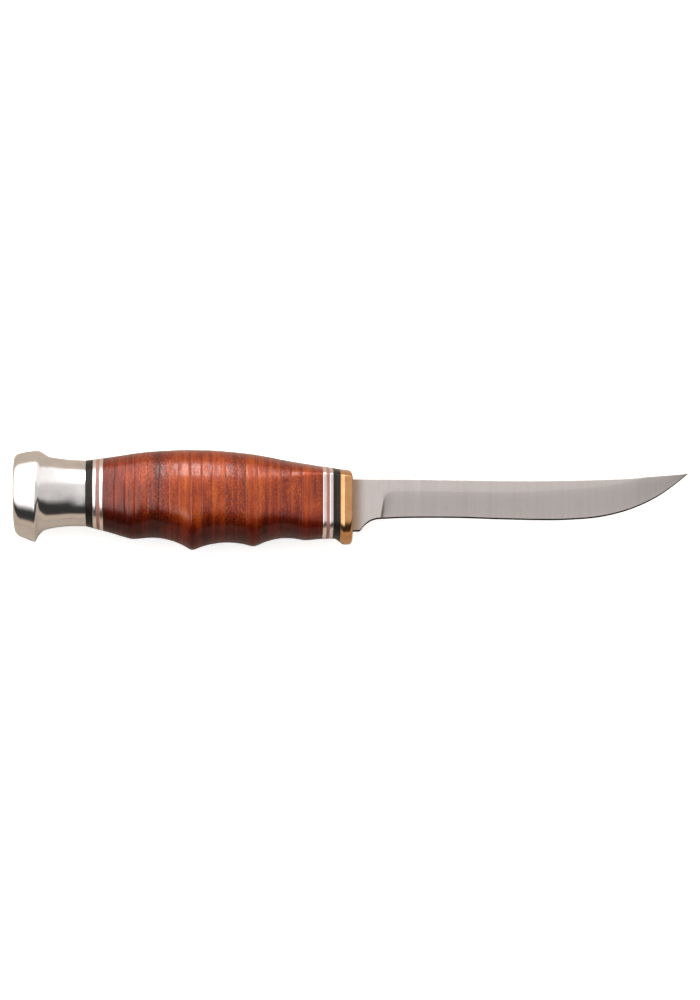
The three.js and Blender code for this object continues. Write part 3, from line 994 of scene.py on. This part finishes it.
def make_floor(name, height, colours, glow):
    half = FLOOR_HALF_SIZE
    mesh = bpy.data.meshes.new(name)
    corners = [(-half, -half, height), (half, -half, height), (half, half, height)]
    corners.append((-half, half, height))
    mesh.from_pydata(corners, [], [(0, 1, 2, 3)])
    floor = bpy.data.objects.new(name, mesh)
    bpy.context.scene.collection.objects.link(floor)
    tree = Tree(name)
    cloud = tree.noise(tree.scaled(FLOOR_CLOUDS, FLOOR_CLOUDS, FLOOR_CLOUDS))
    tree.set(Base_Color=tree.mix(cloud, *colours))
    tree.set(Roughness=0.7, Emission_Strength=glow)
    floor.data.materials.append(tree.material)
    floor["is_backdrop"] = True
    return floor


def make_floors():
    """The pale lit floor that shows, and a beige one just under it that the metal mirrors."""
    shown = make_floor("floor", 0, PALE, FLOOR_GLOW)
    shown.visible_diffuse = False
    shown.visible_glossy = False
    mirrored = make_floor("floor_mirrored", -MIRRORED_FLOOR_DROP, MIRRORED, 0)
    mirrored.visible_camera = False
    mirrored.visible_diffuse = False
    mirrored.visible_shadow = False


# Studio surroundings by the angle from straight up towards the spine, in degrees, with
# the light there: a beige room, a dark side, a soft gradient overhead and a softbox.
BEIGE = (0.62, 0.52, 0.42)
ALONG_KNIFE = [
    (-92, 0.0), (-90, BEIGE), (-72, BEIGE), (-67, 0.04), (-34, 0.03), (-26, 0.16), (-20, 0.32),
    (-8, 0.56), (0, 0.70), (20, 0.82), (27, 0.92), (33, 1.6), (80, 1.6), (86, BEIGE),
    (90, BEIGE), (92, 0.0),
]
# A little past the butt, the softbox is brighter and reaches over the knife.
PAST_BUTT = [
    (-92, 0.0), (-90, BEIGE), (-78, BEIGE), (-72, 0.04), (-46, 0.03), (-40, 0.4), (-32, 2.1),
    (74, 2.1), (82, 1.6), (86, BEIGE), (90, BEIGE), (92, 0.0),
]
# Beyond the butt a second softbox stands, so the gradient overhead is missing there.
BEYOND_BUTT = [
    (-92, 0.0), (-90, BEIGE), (-78, BEIGE), (-72, 0.04), (-46, 0.03), (-38, 0.4), (-28, 1.4),
    (80, 1.6), (86, BEIGE), (90, BEIGE), (92, 0.0),
]
# Towards the tip the softbox is dimmer, and the light overhead is more even.
TOWARDS_TIP = [
    (-92, 0.0), (-90, BEIGE), (-72, BEIGE), (-67, 0.04), (-34, 0.04), (-24, 0.30), (-17, 0.66),
    (0, 0.71), (20, 0.78), (33, 1.15), (80, 1.15), (86, BEIGE), (90, BEIGE), (92, 0.0),
]
# A far brighter core is added to the softbox, and has faded out at this lean.
SOFTBOX_CORE = [(36, 0.0), (42, 12.0), (68, 12.0), (76, 0.0)]
CORE_LEAN = 0.05
# How far a direction leans along the knife where one begins and is full, as sines.
STRETCHES = [
    ((-0.09, -0.14), PAST_BUTT), ((-0.25, -0.35), BEYOND_BUTT), ((0.01, 0.09), TOWARDS_TIP),
]
# The ramps hold light divided by this, and the background's strength multiplies it back.
BRIGHTEST = 15.0

LAMP_WATTS = 16.0
LAMP_SIZE = (2.2, 1.6)
LAMP_PLACE = (0, 1.15, 1.45)

CAMERA_AIM = (-0.0054, -0.0001, 0)   # from the middle of the box, in lengths of the knife
CAMERA_DISTANCE = 4.113          # in lengths of the knife
CAMERA_TILT = 3.4                # degrees off straight overhead, towards the butt
CAMERA_LENS = 100
CAMERA_SENSOR = 36
CAMERA_NEAR = 0.01


def surroundings(studio, around, stops):
    """The light at an angle about the knife, from one of the tables above."""
    scaled = []
    for degrees, light in stops:
        if isinstance(light, float):
            light = (light, light, light)
        colour = tuple(channel / BRIGHTEST for channel in light)
        scaled.append(((degrees + 180) / 360, colour))
    return studio.ramp(around, scaled)


def make_world():
    """Light from all round, by the angle about the knife and the lean along it."""
    world = bpy.data.worlds.new("studio")
    bpy.context.scene.world = world
    world.use_nodes = True
    studio = Nodes(world.node_tree)
    direction = studio.add("ShaderNodeTexCoord").outputs["Generated"]
    axes = studio.add("ShaderNodeSeparateXYZ", {0: direction}).outputs
    around = studio.span(studio.math("ARCTAN2", axes["Y"], axes["Z"]), -math.pi, math.pi)
    light = surroundings(studio, around, ALONG_KNIFE)
    for (begins, full), stops in STRETCHES:
        share = studio.span(axes["X"], begins, full, shape="SMOOTHSTEP")
        light = studio.mix(share, light, surroundings(studio, around, stops))
    lean = studio.math("ABSOLUTE", axes["X"])
    share = studio.span(lean, CORE_LEAN, 0, shape="SMOOTHSTEP")
    light = studio.mix(share, light, surroundings(studio, around, SOFTBOX_CORE), "ADD")
    # Where the camera looks past the floor, it sees plain white.
    camera_ray = studio.add("ShaderNodeLightPath").outputs["Is Camera Ray"]
    white = (1 / BRIGHTEST, 1 / BRIGHTEST, 1 / BRIGHTEST)
    light = studio.mix(camera_ray, light, white)
    background = studio.nodes["Background"]
    studio.feed(background.inputs["Strength"], BRIGHTEST)
    studio.feed(background.inputs["Color"], light)


def make_camera():
    low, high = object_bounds()
    length = high.x - low.x
    aim = (low + high) / 2 + Vector(CAMERA_AIM) * length
    tilt = math.radians(CAMERA_TILT)
    distance = CAMERA_DISTANCE * length
    camera = bpy.data.objects.new("camera", bpy.data.cameras.new("camera"))
    camera.data.lens = CAMERA_LENS
    camera.data.sensor_width = CAMERA_SENSOR
    camera.data.clip_start = CAMERA_NEAR
    camera.location = aim + Vector((-math.sin(tilt), 0, math.cos(tilt))) * distance
    camera.rotation_euler = Euler((0, -tilt, 0))
    bpy.context.scene.collection.objects.link(camera)
    bpy.context.scene.camera = camera


def make_lamp():
    """A large soft lamp over the spine side, for the floor and the matt surfaces."""
    light = bpy.data.lights.new("soft_lamp", "AREA")
    light.shape = "RECTANGLE"
    light.size, light.size_y = LAMP_SIZE
    light.energy = LAMP_WATTS
    lamp = bpy.data.objects.new("soft_lamp", light)
    lamp.location = LAMP_PLACE
    lamp.rotation_euler = Euler((-math.atan2(lamp.location.y, lamp.location.z), 0, 0))
    lamp.visible_glossy = False
    bpy.context.scene.collection.objects.link(lamp)


make_floors()
make_world()
make_lamp()
make_camera()
bpy.context.scene.view_settings.view_transform = "Standard"
